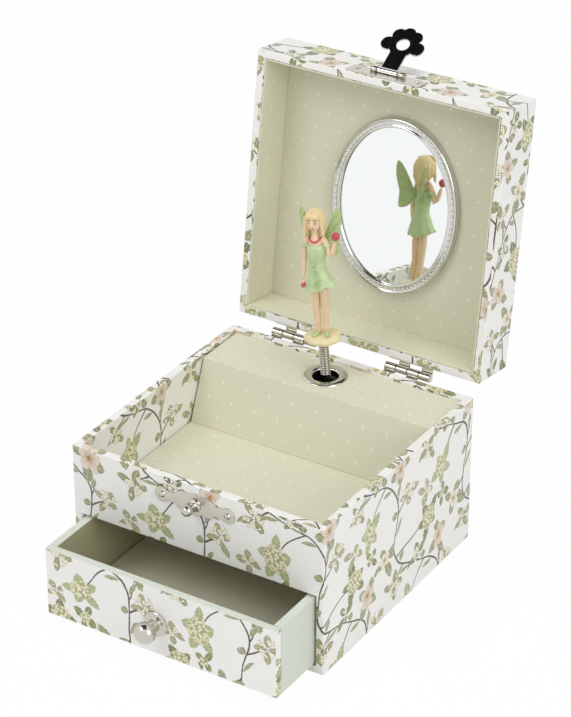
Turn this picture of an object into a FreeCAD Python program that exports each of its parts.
# Musical jewellery box in millimetres: a paper-covered box with a drawer, a mirror lid on two
# hinges, a scalloped hasp and a winged figure that turns on a spring stem above a wind-up movement.
# Origin at the centre of the underside, X to the right along the front, Y to the back, Z up.
# The lid is modelled open, the drawer pulled out and the hasp swung back.
import FreeCAD, Part
import math
import os
import re

from FreeCAD import Placement, Rotation, Vector

DIMENSIONS = {
    # Paper-covered box
    "case_width": 110.0,
    "case_depth": 109.6,
    "case_height": 63.4,
    "wall": 3.3,
    "floor_board": 3.4,
    "shelf_board": 3.0,
    "partition_board": 2.0,
    "movement_bay": 34.5,
    "lining_card": 0.6,
    "lining_gap": 0.4,
    # Platform over the movement
    "platform_card": 1.2,
    "platform_drop": 1.2,
    "platform_foot_gap": 0.9,
    "platform_bend_back": 23.6,
    "platform_flap": 7.0,
    "platform_end_gap": 0.5,
    "eyelet_outer_radius": 8.8,
    "eyelet_hole_radius": 5.15,
    "eyelet_neck_wall": 0.5,
    "eyelet_neck_gap": 0.3,
    "eyelet_height": 0.9,
    "eyelet_round": 0.63,
    "eyelet_tail": 1.0,
    # Drawer
    "drawer_height": 29.2,
    "drawer_side_gap": 1.0,
    "drawer_foot_gap": 0.3,
    "drawer_head_gap": 1.0,
    "drawer_back_gap": 1.8,
    "drawer_wall": 3.3,
    "drawer_floor": 2.0,
    "drawer_pull": 24.9,
    "knob_x": -1.2,
    "knob_drop": 1.0,
    "knob_flange_radius": 5.0,
    "knob_flange_height": 1.2,
    "knob_neck_radius": 2.3,
    "knob_ball_radius": 4.3,
    "knob_reach": 7.4,
    "knob_bore_end": 2.0,
    "knob_screw_end": 1.0,
    "knob_screw_radius": 1.5,
    "knob_screw_head": 3.2,
    "knob_screw_head_height": 1.3,
    "screw_clearance": 0.1,
    # Lid
    "lid_height": 22.0,
    "lid_open": 98.14,
    "seam_gap": 0.3,
    "lid_lining": 0.5,
    "lid_side_card": 1.0,
    "lid_side_gap": 0.4,
    "mirror_x": 2.1,
    "mirror_half_width": 28.2,
    "mirror_half_height": 36.0,
    "mirror_rim": 4.1,
    "mirror_rim_height": 3.4,
    "mirror_lip": 1.2,
    "mirror_ledge": 1.2,
    "mirror_slope": 1.2,
    "glass_thick": 1.4,
    "glass_gap": 0.2,
    # Hinges
    "hinge_left_x": -28.0,
    "hinge_right_x": 24.0,
    "hinge_offset": 3.65,
    "hinge_length": 20.0,
    "hinge_radius": 1.7,
    "hinge_pin_radius": 1.0,
    "hinge_fit": 0.05,
    "hinge_knuckle_gap": 0.3,
    "leaf_thick": 0.6,
    "leaf_height": 9.6,
    # Nails that hold the thin plates
    "nail_radius": 0.55,
    "nail_head_radius": 1.35,
    "nail_head_height": 0.6,
    "nail_length": 2.6,
    "nail_clearance": 0.05,
    # Latch and hasp
    "plate_thick": 0.7,
    "latch_z": 55.7,
    "latch_half_length": 14.3,
    "latch_half_height": 4.7,
    "latch_lobe_radius": 3.1,
    "latch_inner_lobe_x": 5.148,
    "latch_inner_lobe_radius": 4.136,
    "latch_bar_half_height": 2.17,
    "post_neck_radius": 1.3,
    "post_ball_radius": 2.2,
    "post_reach": 4.6,
    "post_foot_radius": 2.9,
    "post_foot_height": 0.4,
    "hasp_above_rim": 5.1,
    "hasp_offset": 1.7,
    "hasp_open": 140.0,
    "hasp_barrel_length": 14.5,
    "hasp_barrel_radius": 1.3,
    "hasp_pin_radius": 0.6,
    "hasp_fit": 0.05,
    "hasp_knuckle_gap": 0.3,
    "hasp_knuckle": 2.6,
    "hasp_thick": 0.8,
    "hasp_hole_radius": 2.6,
    "hasp_neck_half_width": 3.6,
    "hasp_fan_radius": 5.6,
    "hasp_lobe_radius": 3.0,
    "hasp_lobe_reach": 6.3,
    "hasp_lobe_rise": 0.6,
    "hasp_low_lobe_reach": 3.465,
    "hasp_low_lobe_drop": 3.906,
    "hasp_tab_radius": 2.9,
    "hasp_tab_reach": 5.2,
    "hasp_plate_half_length": 16.0,
    "hasp_plate_height": 7.6,
    # Stem and figure
    "spindle_x": -2.6,
    "spindle_back": 11.2,
    "spindle_radius": 1.0,
    "spindle_top": 66.0,
    "spring_radius": 2.0,
    "spring_wire": 0.7,
    "spring_pitch": 1.17,
    "spring_turns": 11,
    "spring_foot": 62.9,
    "lean_z": 64.5,
    "figure_lean": 5.0,
    "figure_yaw": 16.0,
    "fold_z": 73.0,
    "stub_radius": 1.0,
    "stub_length": 7.0,
    "pedestal_radius": 7.7,
    "pedestal_height": 2.6,
    "pedestal_rise": 5.2,
    "figure_height": 60.0,
    "wing_thick": 1.2,
    # Movement
    "bedplate_thick": 1.6,
    "bedplate_left": -45.0,
    "bedplate_right": 34.0,
    "bedplate_foot": 6.0,
    "bedplate_flap_gap": 0.7,
    "movement_screw_radius": 1.2,
    "movement_screw_head": 2.6,
    "movement_screw_head_height": 1.4,
    "train_z": 30.0,
    "shaft_fit": 0.05,
    "crown_module": 0.6,
    "gear_module": 0.5,
    "pinion_teeth": 12,
    "drive_pinion_offset": 7.92,
    "great_teeth": 36,
    "crown_teeth": 24,
    "cylinder_teeth": 32,
    "governor_pinion_teeth": 8,
    "worm_wheel_teeth": 18,
    "face_width": 2.4,
    "gear_width": 1.5,
    "crown_disc": 1.4,
    "cylinder_radius": 6.3,
    "cylinder_length": 21.0,
    "cylinder_wall": 0.9,
    "cylinder_right": -8.9,
    "tune_pin_radius": 0.25,
    "tune_pin_height": 0.65,
    "tune_tracks": 18,
    "comb_tip_gap": 0.25,
    "comb_thick": 1.0,
    "comb_tooth": 10.0,
    "comb_root": 5.2,
    "comb_slot": 0.35,
    "comb_screw_length": 5.0,
    "comb_screw_head": 2.21,
    "cylinder_arbor_radius": 1.0,
    "bracket_thick": 1.5,
    "bracket_half_height": 3.6,
    "bracket_gap": 2.1,
    "arbor_radius": 2.0,
    "housing_radius": 11.0,
    "housing_wall": 0.8,
    "housing_depth": 12.2,
    "housing_flange": 1.0,
    "flange_radius": 16.2,
    "wheel_gap": 0.4,
    "pillar_radius": 1.5,
    "pillar_circle": 14.2,
    "strip_thick": 0.3,
    "strip_step": 1.25,
    "strip_turns": 5,
    "key_hole_radius": 4.0,
    "key_standoff": 1.5,
    "key_hub_radius": 4.0,
    "key_hub_length": 6.0,
    "key_wing_width": 21.0,
    "key_wing_length": 13.0,
    "key_wing_thick": 2.6,
    "governor_arbor_radius": 0.6,
    "worm_radius": 1.6,
    "worm_turns": 5,
    "fan_radius": 4.4,
    "fan_length": 4.4,
    "fan_blade": 0.7,
    "frame_sheet": 1.2,
    "spindle_arm_half_width": 3.6,
    "spindle_collar_radius": 2.2,
    "spindle_collar_height": 1.5,
}

# Slim straight-sided teeth: shares of a module in depth and of a pitch in width
TOOTH_TIP = 0.8
TOOTH_ROOT = 1.1
TIP_SHARE = 0.20
ROOT_SHARE = 0.48

# Crown teeth stop this share of a pitch inside the disc's edge, and a worm's thread starts inside its core
CROWN_INSET = 0.05
THREAD_SINK = 0.9

# The tune's notes: how many each track has, and the turns in degrees between tracks and between notes
NOTES_A_TRACK = 3
TRACK_TURN = 137.5
NOTE_TURN = 113.0

# The figure is drawn this many units tall, with these heights above the fold of the stem
FIGURE_UNITS = 60.0
HEM = 26.5
WAIST = 37.0
SHOULDER = 47.0
HEAD = 55.6

# Depths along the box as formulas: the drawer, and the compartment above it
DRAWER_RUN = "case_depth - wall - movement_bay - partition_board - drawer_back_gap"
SHELF_RUN = "case_depth - 2 * wall - movement_bay"

doc = FreeCAD.newDocument("MusicBox")
sheet = doc.addObject("Spreadsheet::Sheet", "Dims")
for row, (alias, value) in enumerate(DIMENSIONS.items(), 1):
    sheet.set("A%d" % row, alias)
    sheet.set("B%d" % row, str(value))
    sheet.setAlias("B%d" % row, alias)
doc.recompute()


class Sizes:
    """Reads a driving dimension from the sheet by its alias."""

    def __getattr__(self, alias):
        return float(getattr(sheet, alias))


d = Sizes()
nodes = []

# Local axes for pieces built upright: local Z and local X go to the two directions named
Z_TO_RIGHT = Rotation(Vector(0, 0, 1), Vector(0, -1, 0), Vector(1, 0, 0), "ZXY")
Z_TO_BACK = Rotation(Vector(0, 0, 1), Vector(1, 0, 0), Vector(0, 1, 0), "ZXY")
Z_TO_FRONT = Rotation(Vector(1, 0, 0), Vector(0, 0, 1), Vector(0, -1, 0), "ZXY")
TURN_AXIS = Vector(1, 0, 0)

# Places worked out from the driving dimensions
half_width = d.case_width / 2
half_depth = d.case_depth / 2
inner_x = half_width - d.wall
inner_y = half_depth - d.wall
drawer_foot = d.floor_board + d.drawer_foot_gap
bay_top = drawer_foot + d.drawer_height + d.drawer_head_gap
shelf_top = bay_top + d.shelf_board
lining_top = shelf_top + d.lining_card
drawer_length = d.case_depth - d.wall - d.movement_bay - d.partition_board - d.drawer_back_gap
shelf_back = inner_y - d.movement_bay
partition_y = shelf_back - d.partition_board
platform_foot_y = shelf_back + d.platform_foot_gap
platform_bend_y = inner_y - d.platform_bend_back
spindle_y = inner_y - d.spindle_back
platform_top = d.case_height - d.platform_drop
lid_rim = d.case_height + d.seam_gap
lid_top = lid_rim + d.lid_height
lid_ceiling = lid_top - d.wall
hinge_y = half_depth + d.hinge_offset
hinge_z = d.case_height + d.seam_gap / 2
hasp_y = -half_depth - d.hasp_offset
hasp_z = lid_rim + d.hasp_above_rim
hasp_hole_drop = hasp_z - d.latch_z

CASE = Placement()
DRAWER = Placement(Vector(0, -d.drawer_pull, 0), Rotation())
LID = Placement(Vector(), Rotation(TURN_AXIS, -d.lid_open), Vector(0, hinge_y, hinge_z))
HASP = LID * Placement(Vector(), Rotation(TURN_AXIS, -d.hasp_open), Vector(0, hasp_y, hasp_z))
LEAN = Placement(
    Vector(), Rotation(Vector(0, 1, 0), -d.figure_lean), Vector(d.spindle_x, spindle_y, d.lean_z)
)
STEM = LEAN * Placement(Vector(d.spindle_x, spindle_y, 0), Rotation())
FIGURE = LEAN * Placement(
    Vector(d.spindle_x, spindle_y, d.fold_z), Rotation(Vector(0, 0, 1), d.figure_yaw)
)


def rule(text):
    """Turns a formula of aliases into an expression on the sheet."""
    return re.sub(r"[a-z_]+", lambda word: "Dims." + word.group(0), text)


def node(label, piece, frame=None):
    """Keeps a finished piece under its own label, set in the frame of its sub-assembly."""
    if frame is not None:
        piece.Placement = frame * piece.Placement
    piece.Label = label
    nodes.append(piece)
    return piece


def box(label, length, width, height, corner):
    """A block whose three sizes are formulas on the sheet."""
    piece = doc.addObject("Part::Box", label + "_block")
    piece.setExpression("Length", rule(length))
    piece.setExpression("Width", rule(width))
    piece.setExpression("Height", rule(height))
    piece.Placement = Placement(Vector(*corner), Rotation())
    return piece


def rod(label, radius, length, start, direction=Rotation()):
    """A round bar from a start point along the direction's local Z."""
    piece = doc.addObject("Part::Cylinder", label + "_rod")
    piece.setExpression("Radius", rule(radius))
    piece.setExpression("Height", rule(length))
    piece.Placement = Placement(Vector(*start), direction)
    return piece


def bar(label, radius, reach, start, direction=Rotation()):
    """A round bar whose length is worked out from two places."""
    piece = doc.addObject("Part::Cylinder", label + "_bar")
    piece.setExpression("Radius", rule(radius))
    piece.Height = reach
    piece.Placement = Placement(Vector(*start), direction)
    return piece


def disc(label, radius, thick, centre, direction):
    """A flat round plate with a radius that is worked out and a thickness from the sheet."""
    piece = doc.addObject("Part::Cylinder", label + "_disc")
    piece.Radius = radius
    piece.setExpression("Height", rule(thick))
    piece.Placement = Placement(Vector(*centre), direction)
    return piece


def slab(label, length, reach, height, corner):
    """A block whose width is worked out from two places."""
    piece = doc.addObject("Part::Box", label + "_slab")
    piece.setExpression("Length", rule(length))
    piece.Width = reach
    piece.setExpression("Height", rule(height))
    piece.Placement = Placement(Vector(*corner), Rotation())
    return piece


def ball(label, radius, centre):
    """A full ball."""
    piece = doc.addObject("Part::Sphere", label + "_ball")
    piece.setExpression("Radius", rule(radius))
    piece.Placement = Placement(Vector(*centre), Rotation())
    return piece


def fuse(label, pieces):
    """Several solids joined into one."""
    piece = doc.addObject("Part::MultiFuse", label + "_joined")
    piece.Shapes = pieces
    return piece


def cut(label, base, tools):
    """A solid with other solids taken out of it."""
    piece = doc.addObject("Part::Cut", label + "_cut")
    piece.Base = base
    piece.Tool = tools[0] if len(tools) == 1 else fuse(label + "_tools", tools)
    return piece


def group(label, pieces):
    """Separate like solids under one name."""
    piece = doc.addObject("Part::Compound", label + "_group")
    piece.Links = pieces
    return piece


def plane_of(body, role):
    """One of a body's own origin planes."""
    return [item for item in body.Origin.OriginFeatures if item.Role == role][0]


def outline_body(label, points, role):
    """A body with one closed outline drawn on an origin plane."""
    body = doc.addObject("PartDesign::Body", label + "_body")
    sketch = body.newObject("Sketcher::SketchObject", label + "_sketch")
    sketch.AttachmentSupport = (plane_of(body, role), [""])
    sketch.MapMode = "FlatFace"
    corners = [Vector(x, y, 0) for x, y in points]
    for start, end in zip(corners, corners[1:] + corners[:1]):
        sketch.addGeometry(Part.LineSegment(start, end), False)
    doc.recompute()
    return body, sketch


def turned(label, points):
    """A piece turned about its local Z from an outline of radii and heights."""
    body, sketch = outline_body(label, points, "XZ_Plane")
    revolution = body.newObject("PartDesign::Revolution", label + "_turn")
    revolution.Profile = sketch
    revolution.ReferenceAxis = (sketch, ["V_Axis"])
    revolution.Angle = 360.0
    doc.recompute()
    return body


def padded(label, points, length, role):
    """A piece pushed out from an outline on an origin plane."""
    body, sketch = outline_body(label, points, role)
    pad = body.newObject("PartDesign::Pad", label + "_pad")
    pad.Profile = sketch
    pad.setExpression("Length", rule(length))
    doc.recompute()
    return body


def shaped(label, shape, place=CASE):
    """A piece whose form is worked out by a formula rather than a sketch."""
    piece = doc.addObject("Part::Feature", label + "_form")
    piece.Shape = shape
    piece.Placement = place
    return piece


def box_boards():
    """The boards of the box, its compartment floor and the wall behind the drawer."""
    wall_height = "case_height - floor_board"
    inside = "case_width - 2 * wall"
    floor = box("base_floor", "case_width", "case_depth", "floor_board", (-half_width, -half_depth, 0))
    node("base_floor", floor)
    for label, x in (("base_left_wall", -half_width), ("base_right_wall", inner_x)):
        node(label, box(label, "wall", "case_depth", wall_height, (x, -half_depth, d.floor_board)))
    back = box("base_back_wall", inside, "wall", wall_height, (-inner_x, inner_y, d.floor_board))
    holes = [rod("key_way", "key_hole_radius", "wall", (key_x, inner_y, d.train_z), Z_TO_BACK)]
    holes += nail_holes("base_hinge", base_leaf_nails(), half_depth, Z_TO_FRONT)
    for x, z in bedplate_screw_places():
        clear = "movement_screw_radius + screw_clearance"
        holes.append(rod("movement_screw_way", clear, "wall", (x, inner_y, z), Z_TO_BACK))
    node("base_back_wall", cut("base_back_wall", back, holes))
    front_height = "case_height - floor_board - drawer_foot_gap - drawer_height - drawer_head_gap"
    front = box("base_front_wall", inside, "wall", front_height, (-inner_x, -half_depth, bay_top))
    holes = nail_holes("latch", latch_nails(), -half_depth, Z_TO_BACK)
    node("base_front_wall", cut("base_front_wall", front, holes))
    shelf = box("compartment_floor", inside, SHELF_RUN, "shelf_board", (-inner_x, -inner_y, bay_top))
    node("compartment_floor", shelf)
    card = (-inner_x + d.lining_gap, -inner_y + d.lining_gap, shelf_top)
    card_width = "case_width - 2 * wall - 2 * lining_gap"
    lining = box("compartment_lining", card_width, SHELF_RUN + " - lining_gap", "lining_card", card)
    node("compartment_lining", lining)
    bay_height = "drawer_foot_gap + drawer_height + drawer_head_gap"
    place = (-inner_x, partition_y, d.floor_board)
    node("drawer_bay_partition", box("drawer_bay_partition", inside, "partition_board", bay_height, place))


def platform():
    """The bent card over the movement and the metal eyelet round the stem."""
    slope = (platform_bend_y - platform_foot_y) / (platform_top - lining_top)
    along = d.platform_card * math.hypot(1, slope)
    under = platform_top - d.platform_card
    flap_foot = platform_top - d.platform_flap
    outline = [
        (platform_foot_y, lining_top),
        (platform_bend_y, platform_top),
        (inner_y, platform_top),
        (inner_y, flap_foot),
        (inner_y - d.platform_card, flap_foot),
        (inner_y - d.platform_card, under),
        (platform_foot_y + along + slope * (under - lining_top), under),
        (platform_foot_y + along, lining_top),
    ]
    card = padded("platform_cover", outline, "case_width - 2 * wall - 2 * platform_end_gap", "YZ_Plane")
    card.Placement = Placement(Vector(-inner_x + d.platform_end_gap, 0, 0), Rotation())
    hole_radius = "eyelet_hole_radius + eyelet_neck_wall + eyelet_neck_gap"
    hole = rod("eyelet_way", hole_radius, "platform_card", (d.spindle_x, spindle_y, under))
    node("platform_cover", cut("platform_cover", card, [hole]))
    neck = d.eyelet_hole_radius + d.eyelet_neck_wall
    tail = -d.platform_card - d.eyelet_tail
    round_off = d.eyelet_round
    ring = turned("eyelet", [
        (d.eyelet_hole_radius, tail),
        (neck, tail),
        (neck, 0),
        (d.eyelet_outer_radius, 0),
        (d.eyelet_outer_radius - round_off / 2, round_off),
        (neck + round_off, d.eyelet_height),
        (d.eyelet_hole_radius + round_off / 2, round_off),
        (d.eyelet_hole_radius, 0),
    ])
    node("eyelet", ring, Placement(Vector(d.spindle_x, spindle_y, platform_top), Rotation()))


def drawer():
    """The drawer as five boards with a lining card and a turned knob, written closed."""
    half = inner_x - d.drawer_side_gap
    outer = "case_width - 2 * wall - 2 * drawer_side_gap"
    inside = outer + " - 2 * drawer_wall"
    inner_half = half - d.drawer_wall
    front_y = -half_depth
    back_y = front_y + drawer_length - d.drawer_wall
    knob_z = drawer_foot + d.drawer_height / 2 - d.knob_drop
    board = box("drawer_front", outer, "drawer_wall", "drawer_height", (-half, front_y, drawer_foot))
    clear = "knob_screw_radius + screw_clearance"
    way = rod("knob_way", clear, "drawer_wall", (d.knob_x, front_y, knob_z), Z_TO_BACK)
    node("drawer_front", cut("drawer_front", board, [way]), DRAWER)
    for label, x in (("drawer_left_side", -half), ("drawer_right_side", inner_half)):
        side = box(label, "drawer_wall", DRAWER_RUN + " - drawer_wall", "drawer_height",
                   (x, front_y + d.drawer_wall, drawer_foot))
        node(label, side, DRAWER)
    back = box("drawer_back", inside, "drawer_wall", "drawer_height", (-inner_half, back_y, drawer_foot))
    node("drawer_back", back, DRAWER)
    corner = (-inner_half, front_y + d.drawer_wall, drawer_foot)
    deep = DRAWER_RUN + " - 2 * drawer_wall"
    node("drawer_bottom", box("drawer_bottom", inside, deep, "drawer_floor", corner), DRAWER)
    rim = " - 2 * lining_gap"
    corner = (
        -inner_half + d.lining_gap,
        front_y + d.drawer_wall + d.lining_gap,
        drawer_foot + d.drawer_floor,
    )
    node("drawer_lining", box("drawer_lining", inside + rim, deep + rim, "lining_card", corner), DRAWER)
    knob(front_y, knob_z)


def knob(front_y, knob_z):
    """The turned knob on the drawer's front and the screw that holds it from inside."""
    flange = d.knob_flange_height
    reach = d.knob_reach
    radius = d.knob_ball_radius
    steps = 10
    start = math.pi - math.asin(d.knob_neck_radius / radius)
    crown = []
    for step in range(steps + 1):
        angle = start * (1 - step / steps)
        crown.append((radius * math.sin(angle), reach + radius * math.cos(angle)))
    crown[-1] = (0, reach + radius)
    body = turned("drawer_knob", [
        (0, 0),
        (d.knob_flange_radius, 0),
        (d.knob_flange_radius, flange * 0.5),
        (d.knob_flange_radius * 0.8, flange),
        (d.knob_neck_radius, flange * 1.5),
    ] + crown)
    body.Placement = Placement(Vector(d.knob_x, front_y, knob_z), Z_TO_FRONT)
    thread = rod("knob_thread", "knob_screw_radius + hinge_fit", "knob_reach - knob_bore_end",
                 (d.knob_x, front_y, knob_z), Z_TO_FRONT)
    node("drawer_knob", cut("drawer_knob", body, [thread]), DRAWER)
    head_y = front_y + d.drawer_wall
    screw_end = d.knob_screw_head_height + d.drawer_wall + reach - d.knob_bore_end - d.knob_screw_end
    screw = turned("drawer_knob_screw", [
        (0, 0),
        (d.knob_screw_head * 0.8, 0),
        (d.knob_screw_head, d.knob_screw_head_height * 0.6),
        (d.knob_screw_head, d.knob_screw_head_height),
        (d.knob_screw_radius, d.knob_screw_head_height),
        (d.knob_screw_radius, screw_end),
        (0, screw_end),
    ])
    place = Placement(Vector(d.knob_x, head_y + d.knob_screw_head_height, knob_z), Z_TO_FRONT)
    node("drawer_knob_screw", screw, DRAWER * place)


def nail_holes(label, places, face_y, direction):
    """Holes for nails that go into a board from its outer face."""
    radius = "nail_radius + nail_clearance"
    return [rod(label + "_nail_way", radius, "nail_length", (x, face_y, z), direction) for x, z in places]


def nails(label, places, plate_face, direction):
    """Round-headed nails, each with its head on a plate and its shank through it."""
    made = []
    for x, z in places:
        nail = turned(label, [
            (0, -d.nail_length),
            (d.nail_radius * 0.4, -d.nail_length),
            (d.nail_radius, -d.nail_length + d.nail_radius),
            (d.nail_radius, 0),
            (d.nail_head_radius, 0),
            (d.nail_head_radius * 0.85, d.nail_head_height * 0.6),
            (d.nail_head_radius * 0.45, d.nail_head_height),
            (0, d.nail_head_height),
        ])
        nail.Placement = Placement(Vector(x, plate_face, z), direction)
        made.append(nail)
    return made


def latch_nails():
    """Places of the two nails of the latch plate on the front."""
    return [(d.latch_half_length * side, d.latch_z) for side in (-1, 1)]


def hasp_plate_nails():
    """Places of the two nails of the hasp plate on the lid's front."""
    reach = d.hasp_plate_half_length - 2 * d.nail_head_radius
    return [(reach * side, hasp_z) for side in (-1, 1)]


def leaf_nails(middle_z):
    """Places of two nails in each hinge leaf."""
    spread = d.hinge_length / 2 - 2 * d.nail_head_radius
    return [(x + spread * side, middle_z) for x in (d.hinge_left_x, d.hinge_right_x) for side in (-1, 1)]


def base_leaf_nails():
    """Nail places in the lower leaves."""
    return leaf_nails(hinge_z - d.hinge_radius - d.leaf_height / 2)


def lid_leaf_nails():
    """Nail places in the upper leaves."""
    return leaf_nails(hinge_z + d.hinge_radius + d.leaf_height / 2)


def latch():
    """The scalloped latch plate on the front and the ball post that the hasp drops over."""
    face_y = -half_depth
    discs = [(0, d.latch_half_height)]
    for side in (-1, 1):
        discs.append((side * d.latch_half_length, d.latch_lobe_radius))
        discs.append((side * d.latch_inner_lobe_x, d.latch_inner_lobe_radius))
    lobes = [disc("latch_lobe", radius, "plate_thick", (x, face_y, d.latch_z), Z_TO_FRONT)
             for x, radius in discs]
    strip = box("latch_strip", "2 * latch_half_length", "plate_thick", "2 * latch_bar_half_height",
                (-d.latch_half_length, face_y - d.plate_thick, d.latch_z - d.latch_bar_half_height))
    holes = nail_holes("latch_plate", latch_nails(), face_y - d.plate_thick, Z_TO_BACK)
    node("latch_plate", cut("latch_plate", fuse("latch_plate", lobes + [strip]), holes))
    plate_y = face_y - d.plate_thick
    foot = rod("post_foot", "post_foot_radius", "post_foot_height", (0, plate_y, d.latch_z), Z_TO_FRONT)
    neck = rod("post_neck", "post_neck_radius", "post_reach", (0, plate_y, d.latch_z), Z_TO_FRONT)
    head = ball("post_head", "post_ball_radius", (0, plate_y - d.post_reach, d.latch_z))
    node("latch_post", fuse("latch_post", [foot, neck, head]))
    made = nails("case_nail", latch_nails(), plate_y, Z_TO_FRONT)
    made += nails("case_nail", base_leaf_nails(), half_depth + d.leaf_thick, Z_TO_BACK)
    node("case_nails", group("case_nails", made))


def knuckle_spans(middle_x):
    """The four knuckles of a hinge, from left to right."""
    count = 4
    length = (d.hinge_length - (count - 1) * d.hinge_knuckle_gap) / count
    left = middle_x - d.hinge_length / 2
    return [(left + index * (length + d.hinge_knuckle_gap), length) for index in range(count)]


def hinge_leaf(label, middle_x, upper):
    """One leaf: a plate on the board, tongues out to the axis and its two knuckles."""
    side = 1 if upper else -1
    tongue_z = hinge_z + (d.hinge_radius - d.leaf_thick if upper else -d.hinge_radius)
    plate_z = tongue_z if upper else tongue_z + d.leaf_thick - d.leaf_height
    pieces = [box(label, "hinge_length", "leaf_thick", "leaf_height",
                  (middle_x - d.hinge_length / 2, half_depth, plate_z))]
    knuckle_length = "(hinge_length - 3 * hinge_knuckle_gap) / 4"
    for x, length in knuckle_spans(middle_x)[(0 if side < 0 else 1)::2]:
        pieces.append(box(label, knuckle_length, "hinge_offset", "leaf_thick", (x, half_depth, tongue_z)))
        pieces.append(rod(label, "hinge_radius", knuckle_length, (x, hinge_y, hinge_z), Z_TO_RIGHT))
    tools = [rod(label, "hinge_pin_radius + hinge_fit", "hinge_length",
                 (middle_x - d.hinge_length / 2, hinge_y, hinge_z), Z_TO_RIGHT)]
    places = [spot for spot in (lid_leaf_nails() if upper else base_leaf_nails())
              if abs(spot[0] - middle_x) < d.hinge_length / 2]
    tools += nail_holes(label, places, half_depth + d.leaf_thick, Z_TO_FRONT)
    return cut(label, fuse(label, pieces), tools)


def hinges():
    """Two butt hinges behind the box, with their pins held by the lower leaves."""
    places = (d.hinge_left_x, d.hinge_right_x)
    lower = [hinge_leaf("base_leaf", x, False) for x in places]
    upper = [hinge_leaf("lid_leaf", x, True) for x in places]
    node("hinge_base_leaves", group("hinge_base_leaves", lower))
    node("hinge_lid_leaves", group("hinge_lid_leaves", upper), LID)
    pins = []
    for x in places:
        start = (x - d.hinge_length / 2, hinge_y, hinge_z)
        pins.append(rod("hinge_pin", "hinge_pin_radius", "hinge_length", start, Z_TO_RIGHT))
    node("hinge_pins", group("hinge_pins", pins))


def lid_boards():
    """The lid as a shallow tray of boards with lining cards, written closed."""
    inside = "case_width - 2 * wall"
    height = "lid_height - wall"
    corner = (-half_width, -half_depth, lid_ceiling)
    node("lid_top", box("lid_top", "case_width", "case_depth", "wall", corner), LID)
    for label, x in (("lid_left_wall", -half_width), ("lid_right_wall", inner_x)):
        node(label, box(label, "wall", "case_depth", height, (x, -half_depth, lid_rim)), LID)
    back = box("lid_back_wall", inside, "wall", height, (-inner_x, inner_y, lid_rim))
    holes = nail_holes("lid_hinge", lid_leaf_nails(), half_depth, Z_TO_FRONT)
    node("lid_back_wall", cut("lid_back_wall", back, holes), LID)
    front = box("lid_front_wall", inside, "wall", height, (-inner_x, -half_depth, lid_rim))
    holes = nail_holes("hasp_plate", hasp_plate_nails(), -half_depth, Z_TO_BACK)
    node("lid_front_wall", cut("lid_front_wall", front, holes), LID)
    corner = (-inner_x + d.lining_gap, -inner_y + d.lining_gap, lid_ceiling - d.lid_lining)
    width = inside + " - 2 * lining_gap"
    depth = "case_depth - 2 * wall - 2 * lining_gap"
    node("lid_lining_top", box("lid_lining_top", width, depth, "lid_lining", corner), LID)
    tall = "lid_height - wall - lid_lining - 2 * lid_side_gap"
    foot = lid_rim + d.lid_side_gap
    far_x = inner_x - d.lid_side_gap
    far_y = inner_y - d.lid_side_gap
    cards = []
    for x in (-far_x, far_x - d.lid_side_card):
        long_side = "case_depth - 2 * wall - 2 * lid_side_gap"
        cards.append(box("lid_side_card", "lid_side_card", long_side, tall, (x, -far_y, foot)))
    for y in (-far_y, far_y - d.lid_side_card):
        long_side = "case_width - 2 * wall - 4 * lid_side_gap - 2 * lid_side_card"
        start = -far_x + d.lid_side_card + d.lid_side_gap
        cards.append(box("lid_end_card", long_side, "lid_side_card", tall, (start, y, foot)))
    node("lid_lining_sides", group("lid_lining_sides", cards), LID)


def oval(half_x, half_y, z):
    """A closed oval edge in a level plane."""
    curve = Part.Ellipse(Vector(0, half_y, z), Vector(half_x, 0, z), Vector(0, 0, z))
    return Part.Wire([curve.toShape()])


def oval_block(half_x, half_y, foot, height):
    """A solid oval with upright sides."""
    return Part.Face(oval(half_x, half_y, foot)).extrude(Vector(0, 0, height))


def mirror():
    """The oval mirror on the lid's ceiling: a sloped metal rim with a ledge that holds the glass."""
    seat = lid_ceiling - d.lid_lining
    face = seat - d.mirror_rim_height
    outer_x = d.mirror_half_width
    outer_y = d.mirror_half_height
    sight_x = outer_x - d.mirror_rim
    sight_y = outer_y - d.mirror_rim
    rim = Part.makeLoft([
        oval(outer_x - d.mirror_slope, outer_y - d.mirror_slope, face),
        oval(outer_x, outer_y, face + d.mirror_slope),
    ], True, True)
    straight = d.mirror_rim_height - d.mirror_slope
    rim = rim.fuse(oval_block(outer_x, outer_y, face + d.mirror_slope, straight))
    rim = rim.removeSplitter().cut(oval_block(sight_x, sight_y, face, d.mirror_rim_height))
    recess = d.mirror_rim_height - d.mirror_lip
    ledge_x = sight_x + d.mirror_ledge
    ledge_y = sight_y + d.mirror_ledge
    rim = rim.cut(oval_block(ledge_x, ledge_y, face + d.mirror_lip, recess))
    place = LID * Placement(Vector(d.mirror_x, 0, 0), Rotation())
    node("mirror_frame", shaped("mirror_frame", rim), place)
    low = face + d.mirror_lip + d.glass_gap
    glass = oval_block(ledge_x - d.glass_gap, ledge_y - d.glass_gap, low, d.glass_thick)
    node("mirror_glass", shaped("mirror_glass", glass), place)


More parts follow.
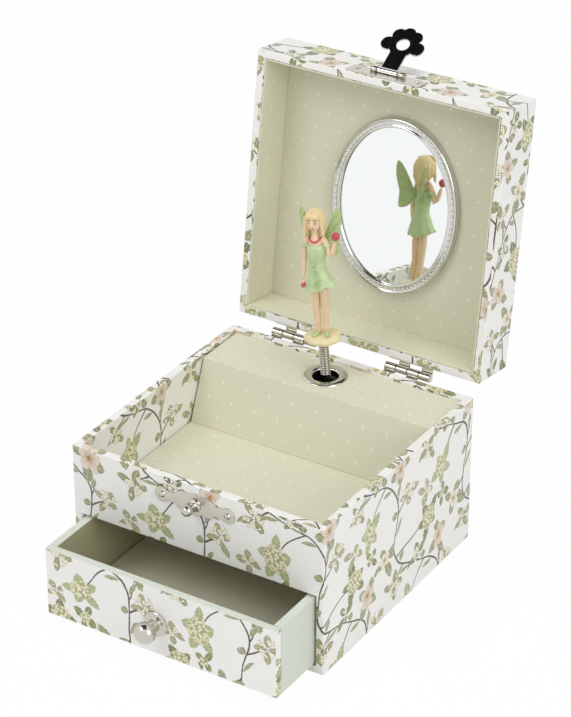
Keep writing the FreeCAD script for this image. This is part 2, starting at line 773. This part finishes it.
def hasp():
    """The hasp plate on the lid's front, the scalloped hasp on its pin and the nails of the lid."""
    face_y = -half_depth
    half = d.hasp_barrel_length / 2
    plate = box("hasp_plate", "2 * hasp_plate_half_length", "plate_thick", "hasp_plate_height",
                (-d.hasp_plate_half_length, face_y - d.plate_thick, lid_rim + d.seam_gap))
    ends = [rod("hasp_end", "hasp_barrel_radius", "hasp_knuckle", (x, hasp_y, hasp_z), Z_TO_RIGHT)
            for x in (-half, half - d.hasp_knuckle)]
    left = (-half, hasp_y, hasp_z)
    clear = "hasp_pin_radius + hasp_fit"
    bore = rod("hasp_bore", clear, "hasp_barrel_length", left, Z_TO_RIGHT)
    sweep = "hasp_barrel_length - 2 * hasp_knuckle"
    room = rod("hasp_room", "hasp_barrel_radius + hasp_knuckle_gap", sweep,
               (-half + d.hasp_knuckle, hasp_y, hasp_z), Z_TO_RIGHT)
    holes = nail_holes("hasp_plate_hole", hasp_plate_nails(), face_y - d.plate_thick, Z_TO_BACK)
    node("hasp_plate", cut("hasp_plate", fuse("hasp_plate", [plate] + ends), [bore, room] + holes), LID)
    pin = rod("hasp_pin", "hasp_pin_radius", "hasp_barrel_length", left, Z_TO_RIGHT)
    node("hasp_pin", group("hasp_pin", [pin]), LID)
    made = nails("lid_nail", hasp_plate_nails(), face_y - d.plate_thick, Z_TO_FRONT)
    made += nails("lid_nail", lid_leaf_nails(), half_depth + d.leaf_thick, Z_TO_BACK)
    node("lid_nails", group("lid_nails", made), LID)
    back_y = hasp_y + d.hasp_thick / 2
    hole_z = hasp_z - hasp_hole_drop
    discs = [(0, 0, d.hasp_fan_radius)]
    for side in (-1, 1):
        discs.append((side * d.hasp_lobe_reach, d.hasp_lobe_rise, d.hasp_lobe_radius))
        discs.append((side * d.hasp_low_lobe_reach, -d.hasp_low_lobe_drop, d.hasp_lobe_radius))
    discs.append((0, -d.hasp_tab_reach, d.hasp_tab_radius))
    lobes = [disc("hasp_lobe", radius, "hasp_thick", (x, back_y, hole_z + rise), Z_TO_FRONT)
             for x, rise, radius in discs]
    drop = "hasp_above_rim + case_height + seam_gap - latch_z"
    neck = box("hasp_neck", "2 * hasp_neck_half_width", "hasp_thick", drop,
               (-d.hasp_neck_half_width, back_y - d.hasp_thick, hole_z))
    run = half - d.hasp_knuckle - d.hasp_knuckle_gap
    barrel = rod("hasp_barrel", "hasp_barrel_radius", sweep + " - 2 * hasp_knuckle_gap",
                 (-run, hasp_y, hasp_z), Z_TO_RIGHT)
    hole = rod("hasp_hole", "hasp_hole_radius", "hasp_thick", (0, back_y, hole_z), Z_TO_FRONT)
    bore = rod("hasp_bore", clear, "hasp_barrel_length", left, Z_TO_RIGHT)
    node("hasp", cut("hasp", fuse("hasp", lobes + [neck, barrel]), [hole, bore]), HASP)


def arc_from(start, heading, end):
    """The arc that leaves a point along a heading and reaches another point."""
    chord = end - start
    unit = Vector(chord).normalize()
    lift = heading - unit * heading.dot(unit)
    turn = math.atan2(lift.Length, heading.dot(unit))
    middle = (start + end) * 0.5 + lift.normalize() * (chord.Length / 2 * math.tan(turn / 2))
    return Part.Arc(start, middle, end)


def biarc(start, heading, end, end_heading):
    """Two arcs that meet smoothly and join two points with a given heading at each."""
    span = end - start
    both = heading + end_heading
    bend = 2 * (1 - heading.dot(end_heading))
    ahead = span.dot(both)
    reach = (-ahead + math.sqrt(ahead * ahead + bend * span.dot(span))) / bend
    joint = (start + end + (heading - end_heading) * reach) * 0.5
    back = arc_from(end, end_heading * -1, joint)
    return [arc_from(start, heading, joint), Part.Arc(joint, back.value(
        (back.FirstParameter + back.LastParameter) / 2), end)]


def stem_spring():
    """The coiled spring of the stem: one wire in half-turn biarcs with straight ends."""
    radius = d.spring_radius - d.spring_wire / 2
    rise = d.spring_pitch / (2 * math.pi)
    tilt = math.hypot(radius, rise)

    def spot(angle):
        return Vector(radius * math.cos(angle), radius * math.sin(angle), rise * angle)

    def heading(angle):
        return Vector(-radius * math.sin(angle), radius * math.cos(angle), rise) * (1 / tilt)

    count = int(2 * d.spring_turns)
    angles = [math.pi * step for step in range(count + 1)]
    first, last = spot(angles[0]), spot(angles[-1])
    lead = heading(0) * d.spring_wire
    trail = heading(angles[-1]) * d.spring_wire
    curves = [Part.LineSegment(first - lead, first)]
    for before, after in zip(angles, angles[1:]):
        curves += biarc(spot(before), heading(before), spot(after), heading(after))
    curves.append(Part.LineSegment(last, last + trail))
    path = Part.Wire([curve.toShape() for curve in curves])
    section = Part.Wire([Part.Circle(first - lead, heading(0), d.spring_wire / 2).toShape()])
    tube = path.makePipeShell([section], True, False)
    half_turn = 40
    points = path.discretize(Number=half_turn * count)
    far = half_turn * 3 // 2
    gaps = []
    for index, point in enumerate(points):
        gaps += [point.distanceToPoint(other) for other in points[index + far:index + 3 * far]]
    gap = min(gaps) - d.spring_wire
    expected = math.pi * d.spring_wire ** 2 / 4 * path.Length
    print("stem spring: least gap %.3f mm, volume %.3f of %.3f mm3" % (gap, tube.Volume, expected))
    foot = Placement(Vector(0, 0, d.spring_foot + d.spring_wire / 2), Rotation())
    node("stem_spring", shaped("stem_spring", tube), STEM * foot)


def drawn(*numbers):
    """Numbers of the figure's drawing at the figure's real height."""
    return [number * d.figure_height / FIGURE_UNITS for number in numbers]


def cone(label, radii, foot, top):
    """A round taper between two points of the figure's drawing."""
    piece = doc.addObject("Part::Cone", label + "_taper")
    start = Vector(*drawn(*foot))
    run = Vector(*drawn(*top)) - start
    piece.Radius1, piece.Radius2 = drawn(*radii)
    piece.Height = run.Length
    piece.Placement = Placement(start, Rotation(Vector(0, 0, 1), run))
    return piece


def egg(label, radii, centre):
    """A ball of the figure's drawing, stretched along its three axes."""
    piece = doc.addObject("Part::Ellipsoid", label + "_egg")
    piece.Radius2, piece.Radius3, piece.Radius1 = drawn(*radii)
    piece.Placement = Placement(Vector(*drawn(*centre)), Rotation())
    return piece


def wing(side):
    """One flat pointed wing behind the shoulders."""
    root = (0.9 * side, 3.2, 43.0)
    spread = 42.0
    outline = [
        (0, 0), (2.6, 6.5), (6.4, 13.0), (8.6, 14.6), (9.2, 11.0),
        (7.6, 5.0), (6.6, 0.5), (7.0, -4.5), (3.6, -4.0),
    ]
    body = padded("wing", [drawn(x * side, z) for x, z in outline], "wing_thick", "XZ_Plane")
    body.Placement = Placement(Vector(*drawn(*root)), Rotation(Vector(0, 0, 1), spread * side))
    return body


def legs():
    """Both legs with their slippers, which stand on the pedestal."""
    sole = (d.pedestal_rise + d.pedestal_height) * FIGURE_UNITS / d.figure_height
    pieces = []
    for side in (-1, 1):
        knee = (1.7 * side, -0.3, 17.0)
        pieces.append(egg("foot", (1.4, 2.4, 1.0), (1.6 * side, -1.2, sole + 0.4)))
        pieces.append(cone("shin", (1.1, 1.7), (1.5 * side, 0.2, sole - 0.3), knee))
        below_knee = (knee[0], knee[1], knee[2] - 0.2)
        pieces.append(cone("thigh", (1.65, 2.2), below_knee, (1.8 * side, 0, HEM + 3)))
    return pieces


def arms():
    """The lowered arm, and the raised one with the posy."""
    hand = (-5.6, -1.4, 30.5)
    elbow = (-5.2, 0.4, 39.0)
    raised_elbow = (5.9, -1.0, 40.8)
    raised_hand = (8.1, -1.6, 48.6)
    pieces = [egg("hand", (0.9, 1.1, 1.5), hand), egg("posy", (1.8, 1.8, 1.8), (8.5, -1.7, 50.2))]
    for side, joint, end in ((-1, elbow, hand), (1, raised_elbow, raised_hand)):
        pieces.append(cone("upper_arm", (1.3, 1.1), (3.4 * side, 0, SHOULDER - 0.6), joint))
        pieces.append(cone("forearm", (1.1, 0.85), joint, end))
        pieces.append(egg("elbow", (1.12, 1.12, 1.12), joint))
    return pieces


def figurine():
    """The moulded winged figure on its pedestal, upright on the stem with the fold point as origin."""
    pedestal = doc.addObject("Part::Cone", "pedestal")
    pedestal.setExpression("Radius1", rule("pedestal_radius"))
    pedestal.setExpression("Radius2", rule("0.9 * pedestal_radius"))
    pedestal.setExpression("Height", rule("pedestal_height"))
    pedestal.Placement = Placement(Vector(0, 0, d.pedestal_rise), Rotation())
    stub = rod("stub", "stub_radius", "stub_length", (0, 0, d.pedestal_rise - d.stub_length))
    dress = [
        (0, HEM), (5.5, HEM), (5.2, HEM + 2.5), (4.3, HEM + 6.5), (3.1, WAIST), (3.5, WAIST + 4),
        (3.7, WAIST + 7), (3.1, SHOULDER + 0.4), (1.3, SHOULDER + 1.6), (1.25, HEAD - 2.5), (0, HEAD - 2.5),
    ]
    pieces = [pedestal, stub, turned("dress", [drawn(*point) for point in dress])]
    pieces.append(egg("head", (3.6, 3.9, 4.3), (0, -0.3, HEAD)))
    pieces.append(egg("hair", (4.3, 4.2, 4.6), (0, 0.7, HEAD + 0.8)))
    pieces.append(egg("tress", (3.7, 2.0, 7.0), (0, 3.0, 50.5)))
    pieces += legs() + arms() + [wing(-1), wing(1)]
    node("figurine", fuse("figurine", pieces), FIGURE)


def gear_face(teeth, module, phase):
    """The flat outline of a wheel, with one tooth along the angle phase."""
    pitch = teeth * module / 2
    tip = pitch + TOOTH_TIP * module
    root = pitch - TOOTH_ROOT * module
    half_tip = TIP_SHARE * math.pi / teeth
    half_root = ROOT_SHARE * math.pi / teeth
    points = []
    for index in range(int(teeth)):
        middle = phase + 2 * math.pi * index / teeth
        for radius, offset in ((root, -half_root), (tip, -half_tip), (tip, half_tip), (root, half_root)):
            points.append(Vector(radius * math.cos(middle + offset), radius * math.sin(middle + offset), 0))
    return Part.Face(Part.makePolygon(points + points[:1]))


def spur(teeth, module, phase, width, bore):
    """A spur wheel from its outline, with a bore where it has one."""
    wheel = gear_face(teeth, module, phase).extrude(Vector(0, 0, width))
    return wheel.cut(Part.makeCylinder(bore, width)) if bore else wheel


def crown(teeth, module, disc, bore):
    """A crown wheel: a disc whose pitch plane is at height zero, with radial teeth that point up."""
    pitch = teeth * module / 2
    inner = pitch - d.face_width / 2
    outer = pitch + d.face_width / 2
    low = -TOOTH_ROOT * module
    high = TOOTH_TIP * module
    step = math.pi * module
    half_root = ROOT_SHARE * step / 2
    half_tip = TIP_SHARE * step / 2
    wheel = Part.makeCylinder(outer, disc, Vector(0, 0, low - disc))
    section = [(-half_root, low - disc / 2), (-half_root, low), (-half_tip, high), (half_tip, high),
               (half_root, low), (half_root, low - disc / 2)]
    teeth_made = []
    for index in range(int(teeth)):
        points = [Vector(inner, y, z) for y, z in section]
        length = outer - inner - step * CROWN_INSET
        tooth = Part.Face(Part.makePolygon(points + points[:1])).extrude(Vector(length, 0, 0))
        tooth.rotate(Vector(), Vector(0, 0, 1), 360.0 * index / teeth)
        teeth_made.append(tooth)
    wheel = wheel.multiFuse(teeth_made).removeSplitter()
    return wheel.cut(Part.makeCylinder(bore, disc + high - low, Vector(0, 0, low - disc)))


def bedplate_screw_places():
    """The three screws that hold the bedplate to the back wall."""
    inset = 2 * d.movement_screw_head
    return [
        (d.bedplate_left + inset, d.bedplate_foot + inset),
        (d.bedplate_right - inset, d.bedplate_foot + inset),
        (d.bedplate_right - 2 * inset, bedplate_top - inset),
    ]


# Places along the train of the movement
bed_face = inner_y - d.bedplate_thick
bedplate_top = platform_top - d.platform_flap - d.bedplate_flap_gap
pinion_radius = d.pinion_teeth * d.crown_module / 2
great_radius = d.great_teeth * d.crown_module / 2
crown_radius = d.crown_teeth * d.crown_module / 2
crown_plane_x = d.spindle_x - pinion_radius
cylinder_left = d.cylinder_right - d.cylinder_length
gear_left = cylinder_left - d.gear_width - d.bracket_gap
left_bracket_x = gear_left - d.bracket_gap - d.bracket_thick
drive_pinion_x = d.spindle_x + d.drive_pinion_offset
right_bracket_x = drive_pinion_x + d.face_width + d.bracket_gap
key_x = drive_pinion_x + d.face_width / 2 + great_radius
wheel_plane_y = spindle_y - pinion_radius
wheel_back_y = wheel_plane_y - TOOTH_ROOT * d.crown_module - d.gear_width / 2
flange_y = wheel_back_y - d.wheel_gap - d.housing_flange
housing_front_y = flange_y - d.housing_depth
governor_pinion_radius = d.governor_pinion_teeth * d.gear_module / 2
governor_z = d.train_z + d.cylinder_teeth * d.gear_module / 2 + governor_pinion_radius
worm_wheel_radius = d.worm_wheel_teeth * d.gear_module / 2
worm_wheel_x = left_bracket_x - d.bracket_gap - d.gear_width
worm_x = worm_wheel_x + d.gear_width / 2
worm_z = governor_z + worm_wheel_radius + d.worm_radius
comb_tip_z = d.train_z - d.cylinder_radius - d.tune_pin_height - d.comb_tip_gap
comb_foot_z = comb_tip_z - d.comb_tooth - d.comb_root
comb_y = spindle_y - d.comb_thick / 2


def bedplate():
    """The cast bedplate on the back wall with its raised seat for the comb, and its screws."""
    tall = "case_height - platform_drop - platform_flap - bedplate_flap_gap - bedplate_foot"
    plate = box("bedplate", "bedplate_right - bedplate_left", "bedplate_thick", tall,
                (d.bedplate_left, bed_face, d.bedplate_foot))
    seat_y = comb_y + d.comb_thick
    seat_reach = bed_face + d.bedplate_thick / 2 - seat_y
    seat = slab("comb_seat", "cylinder_length", seat_reach, "comb_root",
                (cylinder_left, seat_y, comb_foot_z))
    tools = [rod("arbor_way", "arbor_radius + shaft_fit", "bedplate_thick",
                 (key_x, bed_face, d.train_z), Z_TO_BACK)]
    clear = "movement_screw_radius + hinge_fit"
    for x, z in bedplate_screw_places():
        tools.append(rod("screw_way", clear, "bedplate_thick", (x, bed_face, z), Z_TO_BACK))
    for x in comb_screw_places():
        tools.append(rod("comb_way", clear, "comb_screw_length + comb_thick",
                         (x, seat_y, comb_foot_z + d.comb_root / 2), Z_TO_BACK))
    node("movement_bedplate", cut("movement_bedplate", fuse("movement_bedplate", [plate, seat]), tools))
    screws = []
    for x, z in bedplate_screw_places():
        head = rod("movement_screw", "movement_screw_head", "movement_screw_head_height",
                   (x, half_depth, z), Z_TO_BACK)
        shank = rod("movement_screw", "movement_screw_radius", "wall + bedplate_thick",
                    (x, bed_face, z), Z_TO_BACK)
        screws.append(fuse("movement_screw", [head, shank]))
    node("bedplate_screws", group("bedplate_screws", screws))


def comb_screw_places():
    """The two screws of the comb."""
    inset = 2 * d.movement_screw_head
    return [cylinder_left + inset, d.cylinder_right - inset]


def comb():
    """The steel comb, one tooth for each track of the cylinder, with its two screws."""
    pitch = d.cylinder_length / d.tune_tracks
    width = pitch - d.comb_slot
    root_z = comb_foot_z + d.comb_root
    points = [(cylinder_left, comb_foot_z), (d.cylinder_right, comb_foot_z)]
    for index in reversed(range(int(d.tune_tracks))):
        left = cylinder_left + index * pitch + d.comb_slot / 2
        points += [(left + width, root_z), (left + width, comb_tip_z), (left, comb_tip_z), (left, root_z)]
    plate = padded("comb", points, "comb_thick", "XZ_Plane")
    plate.Placement = Placement(Vector(0, comb_y + d.comb_thick, 0), Rotation())
    middle_z = comb_foot_z + d.comb_root / 2
    clear = "movement_screw_radius + hinge_fit"
    ways = [rod("comb_hole", clear, "comb_thick", (x, comb_y, middle_z), Z_TO_BACK)
            for x in comb_screw_places()]
    node("comb", cut("comb", plate, ways))
    screws = []
    for x in comb_screw_places():
        middle = (x, comb_y, middle_z)
        head = rod("comb_screw", "comb_screw_head", "movement_screw_head_height", middle, Z_TO_FRONT)
        shank = rod("comb_screw", "movement_screw_radius", "comb_screw_length", middle, Z_TO_BACK)
        screws.append(fuse("comb_screw", [head, shank]))
    node("comb_screws", group("comb_screws", screws))


def spring_drive():
    """The mainspring in its housing on three pillars, the winding arbor, its great wheel and the key."""
    front = (key_x, housing_front_y, d.train_z)
    cup = rod("housing", "housing_radius", "housing_depth", front, Z_TO_BACK)
    hollow = rod("housing_hollow", "housing_radius - housing_wall", "housing_depth - housing_wall",
                 (key_x, housing_front_y + d.housing_wall, d.train_z), Z_TO_BACK)
    rim = (key_x, flange_y, d.train_z)
    flange = rod("housing_flange", "flange_radius", "housing_flange", rim, Z_TO_BACK)
    way = rod("housing_way", "arbor_radius + shaft_fit", "housing_depth + housing_flange", front, Z_TO_BACK)
    shell = fuse("spring_housing", [cut("housing_cup", cup, [hollow]), flange])
    node("spring_housing", cut("spring_housing", shell, [way]))
    pillars = []
    pillar_start = flange_y + d.housing_flange
    for angle in (0, 120, 240):
        x = key_x + d.pillar_circle * math.cos(math.radians(angle))
        z = d.train_z + d.pillar_circle * math.sin(math.radians(angle))
        reach = bed_face - pillar_start
        pillars.append(bar("pillar", "pillar_radius", reach, (x, pillar_start, z), Z_TO_BACK))
    node("housing_pillars", group("housing_pillars", pillars))
    start = d.arbor_radius + 2 * d.strip_thick
    low, high = [], []
    for index in range(int(2 * d.strip_turns)):
        side = 1 if index % 2 == 0 else -1
        near = start + index * d.strip_step / 2
        far = near + d.strip_step / 2
        for edge, extra in ((low, 0), (high, d.strip_thick)):
            begin = Vector(side * (near + extra), 0, 0)
            end = Vector(-side * (far + extra), 0, 0)
            middle = (begin + end) * 0.5 + Vector(0, side * (near + far + 2 * extra) / 2, 0)
            edge.append(Part.Arc(begin, middle, end).toShape())
    caps = [Part.makeLine(low[0].Vertexes[0].Point, high[0].Vertexes[0].Point),
            Part.makeLine(low[-1].Vertexes[-1].Point, high[-1].Vertexes[-1].Point)]
    strip = Part.Face(Part.Wire(Part.__sortEdges__(low + high + caps)))
    height = d.housing_depth - d.housing_wall - 2 * d.strip_thick
    foot = Placement(Vector(key_x, housing_front_y + d.housing_wall + d.strip_thick, d.train_z), Z_TO_BACK)
    node("mainspring", shaped("mainspring", strip.extrude(Vector(0, 0, height))), foot)
    arbor_end = half_depth + d.key_standoff + d.key_hub_length / 2
    node("key_arbor", bar("key_arbor", "arbor_radius", arbor_end - housing_front_y, front, Z_TO_BACK))
    wheel = crown(d.great_teeth, d.crown_module, d.gear_width / 2, d.arbor_radius)
    place = Placement(Vector(key_x, wheel_plane_y, d.train_z), Z_TO_BACK)
    node("great_wheel", shaped("great_wheel", wheel), place)
    winding_key()


def winding_key():
    """The winged key on the arbor's end behind the box."""
    hub_y = half_depth + d.key_standoff
    hub = rod("key_hub", "key_hub_radius", "key_hub_length", (key_x, hub_y, d.train_z), Z_TO_BACK)
    socket = rod("key_socket", "arbor_radius", "key_hub_length / 2", (key_x, hub_y, d.train_z), Z_TO_BACK)
    wing_y = hub_y + d.key_hub_length * 0.6
    low = d.train_z - d.key_wing_thick / 2
    arm = (d.key_wing_width - d.key_wing_length) / 2
    wings = []
    for side in (-1, 1):
        middle = (key_x + side * arm, wing_y + d.key_wing_length / 2, low)
        wings.append(rod("key_lobe", "key_wing_length / 2", "key_wing_thick", middle))
    waist = 0.8
    corner = (key_x - arm, wing_y + (1 - waist) / 2 * d.key_wing_length, low)
    bridge = box("key_bridge", "key_wing_width - key_wing_length", "%g * key_wing_length" % waist,
                 "key_wing_thick", corner)
    node("winding_key", cut("winding_key", fuse("winding_key", [hub, bridge] + wings), [socket]))


def tune_cylinder():
    """The pinned cylinder, its arbor with the drive pinion, and the wheels at its two ends."""

    def at(x):
        return Placement(Vector(x, spindle_y, d.train_z), Z_TO_RIGHT)

    drum = Part.makeCylinder(d.cylinder_radius, d.cylinder_length)
    bore = d.cylinder_radius - d.cylinder_wall
    hollow = d.cylinder_length - 2 * d.cylinder_wall
    drum = drum.cut(Part.makeCylinder(bore, hollow, Vector(0, 0, d.cylinder_wall)))
    drum = drum.cut(Part.makeCylinder(d.cylinder_arbor_radius, d.cylinder_length))
    pitch = d.cylinder_length / d.tune_tracks
    pin_length = d.tune_pin_height + d.cylinder_wall / 2
    pins = []
    for track in range(int(d.tune_tracks)):
        for note in range(NOTES_A_TRACK):
            angle = math.radians(TRACK_TURN * track + NOTE_TURN * note)
            out = Vector(math.cos(angle), math.sin(angle), 0)
            start = out * (d.cylinder_radius - d.cylinder_wall / 2) + Vector(0, 0, (track + 0.5) * pitch)
            pins.append(Part.makeCylinder(d.tune_pin_radius, pin_length, start, out))
    node("tune_cylinder", shaped("tune_cylinder", drum.multiFuse(pins)), at(cylinder_left))
    arbor_left = left_bracket_x - d.bracket_thick / 2
    arbor_right = right_bracket_x + d.bracket_thick
    shaft = Part.makeCylinder(d.cylinder_arbor_radius, arbor_right - arbor_left)
    pinion = spur(d.pinion_teeth, d.crown_module, math.pi / d.pinion_teeth, d.face_width, 0)
    pinion.translate(Vector(0, 0, drive_pinion_x - arbor_left))
    node("cylinder_arbor", shaped("cylinder_arbor", shaft.fuse(pinion)), at(arbor_left))
    gear = spur(d.cylinder_teeth, d.gear_module, 0, d.gear_width, d.cylinder_arbor_radius)
    node("cylinder_gear", shaped("cylinder_gear", gear), at(gear_left))
    wheel = crown(d.crown_teeth, d.crown_module, d.crown_disc, d.cylinder_arbor_radius)
    node("crown_wheel", shaped("crown_wheel", wheel), at(crown_plane_x))
    brackets = []
    front_y = spindle_y - d.cylinder_arbor_radius - d.bracket_thick
    for x in (left_bracket_x, right_bracket_x):
        arm = slab("cylinder_bracket", "bracket_thick", bed_face - front_y, "2 * bracket_half_height",
                   (x, front_y, d.train_z - d.bracket_half_height))
        way = rod("cylinder_way", "cylinder_arbor_radius + shaft_fit", "bracket_thick",
                  (x, spindle_y, d.train_z), Z_TO_RIGHT)
        brackets.append(cut("cylinder_bracket", arm, [way]))
    node("cylinder_brackets", group("cylinder_brackets", brackets))


def spindle():
    """The upright spindle with its pinion, and the bracket that carries it."""
    pinion_z = d.train_z + crown_radius - d.face_width / 2
    arm_low = pinion_z + d.face_width + d.bracket_gap
    collar_z = arm_low + d.frame_sheet + d.wheel_gap
    foot = pinion_z - d.spindle_radius
    wire = Part.makeCylinder(d.spindle_radius, d.spindle_top - foot, Vector(0, 0, foot))
    collar = Part.makeCylinder(d.spindle_collar_radius, d.spindle_collar_height, Vector(0, 0, collar_z))
    place = Placement(Vector(d.spindle_x, spindle_y, 0), Rotation())
    node("spindle", shaped("spindle", wire.fuse(collar)), place)
    pinion = spur(d.pinion_teeth, d.crown_module, math.pi / d.pinion_teeth, d.face_width, d.spindle_radius)
    above = Placement(Vector(0, 0, pinion_z), Rotation())
    node("spindle_pinion", shaped("spindle_pinion", pinion), place * above)
    arm_high = bedplate_top - d.frame_sheet
    left = d.spindle_x - d.spindle_arm_half_width
    front_y = spindle_y - d.spindle_arm_half_width
    width = "2 * spindle_arm_half_width"
    reach = bed_face - front_y
    parts = [slab("spindle_arm", width, reach, "frame_sheet", (left, front_y, z))
             for z in (arm_low, arm_high)]
    web = doc.addObject("Part::Box", "spindle_web")
    web.setExpression("Length", rule(width))
    web.setExpression("Width", rule("frame_sheet"))
    web.Height = bedplate_top - arm_low
    web.Placement = Placement(Vector(left, bed_face - d.frame_sheet, arm_low), Rotation())
    way = bar("spindle_way", "spindle_radius + shaft_fit", bedplate_top - arm_low,
              (d.spindle_x, spindle_y, arm_low))
    node("spindle_bracket", cut("spindle_bracket", fuse("spindle_bracket", parts + [web]), [way]))


def governor():
    """The speed governor: a wheel driven by the cylinder, a worm with an air-brake fan, and their frame."""
    left = worm_wheel_x - d.bracket_gap - d.frame_sheet
    right = gear_left + d.gear_width + d.bracket_gap / 2
    low = governor_z - worm_wheel_radius + d.bracket_gap
    high = worm_z + 2 * d.worm_radius
    front_y = spindle_y - worm_wheel_radius - d.bracket_gap
    width = right + d.frame_sheet - left
    depth = bed_face - front_y
    sheet_both = 2 * d.frame_sheet
    outside = Part.makeBox(width, depth, high - low, Vector(left, front_y, low))
    room = Part.makeBox(width - sheet_both, depth - sheet_both, high - low,
                        Vector(left + d.frame_sheet, front_y + d.frame_sheet, low))
    bore = d.governor_arbor_radius + d.shaft_fit
    across = Part.makeCylinder(bore, width, Vector(left, spindle_y, governor_z), Vector(1, 0, 0))
    along = Part.makeCylinder(bore, depth, Vector(worm_x, front_y, worm_z), Vector(0, 1, 0))
    node("governor_frame", shaped("governor_frame", outside.cut(room).cut(across).cut(along)))
    place = Placement(Vector(left, spindle_y, governor_z), Z_TO_RIGHT)
    arbor = Part.makeCylinder(d.governor_arbor_radius, width)
    half_step = math.pi / d.governor_pinion_teeth
    pinion = spur(d.governor_pinion_teeth, d.gear_module, half_step, d.gear_width, 0)
    pinion.translate(Vector(0, 0, gear_left - left))
    wheel = spur(d.worm_wheel_teeth, d.gear_module, math.pi / d.worm_wheel_teeth, d.gear_width, 0)
    wheel.translate(Vector(0, 0, worm_wheel_x - left))
    node("governor_wheel", shaped("governor_wheel", arbor.fuse(pinion).fuse(wheel)), place)
    lead = math.pi * d.gear_module
    root = d.worm_radius - TOOTH_ROOT * d.gear_module
    tip = d.worm_radius + TOOTH_TIP * d.gear_module
    half_root = ROOT_SHARE * lead / 2
    half_tip = TIP_SHARE * lead / 2
    start_y = spindle_y - lead * d.worm_turns / 2
    helix = Part.makeHelix(lead, lead * d.worm_turns, root)
    inside = root * THREAD_SINK
    section = [(inside, -half_root), (tip, -half_tip), (tip, half_tip), (inside, half_root)]
    points = [Vector(radius, 0, height) for radius, height in section]
    thread = helix.makePipeShell([Part.makePolygon(points + points[:1])], True, True)
    fan_front = front_y - d.wheel_gap - d.fan_length
    core = Part.makeCylinder(root, lead * (d.worm_turns + 1), Vector(0, 0, -lead / 2))
    foot = fan_front - start_y
    shaft = Part.makeCylinder(d.governor_arbor_radius, bed_face - fan_front, Vector(0, 0, foot))
    hub = Part.makeCylinder(2 * d.governor_arbor_radius, d.fan_length, Vector(0, 0, foot))
    corner = Vector(-d.fan_radius, -d.fan_blade / 2, foot)
    blades = Part.makeBox(2 * d.fan_radius, d.fan_blade, d.fan_length, corner)
    worm = core.fuse([thread, shaft, hub, blades])
    place = Placement(Vector(worm_x, start_y, worm_z), Z_TO_BACK)
    node("governor_fan", shaped("governor_fan", worm), place)


def check_and_write():
    """Stops on any failed object or bad shape, then writes one file for each piece."""
    doc.recompute()
    for item in doc.Objects:
        if "Invalid" in item.State or "Error" in item.State:
            raise RuntimeError("failed object " + item.Label)
    for piece in nodes:
        shape = piece.Shape
        if shape.isNull() or not shape.isValid() or not shape.Solids:
            raise RuntimeError("bad shape " + piece.Label)
    os.makedirs("parts", exist_ok=True)
    for piece in nodes:
        piece.Shape.exportStep("parts/%s.step" % piece.Label)
    print("%d pieces written" % len(nodes))


box_boards()
platform()
drawer()
latch()
hinges()
lid_boards()
mirror()
hasp()
stem_spring()
figurine()
bedplate()
comb()
spring_drive()
tune_cylinder()
spindle()
governor()
check_and_write()
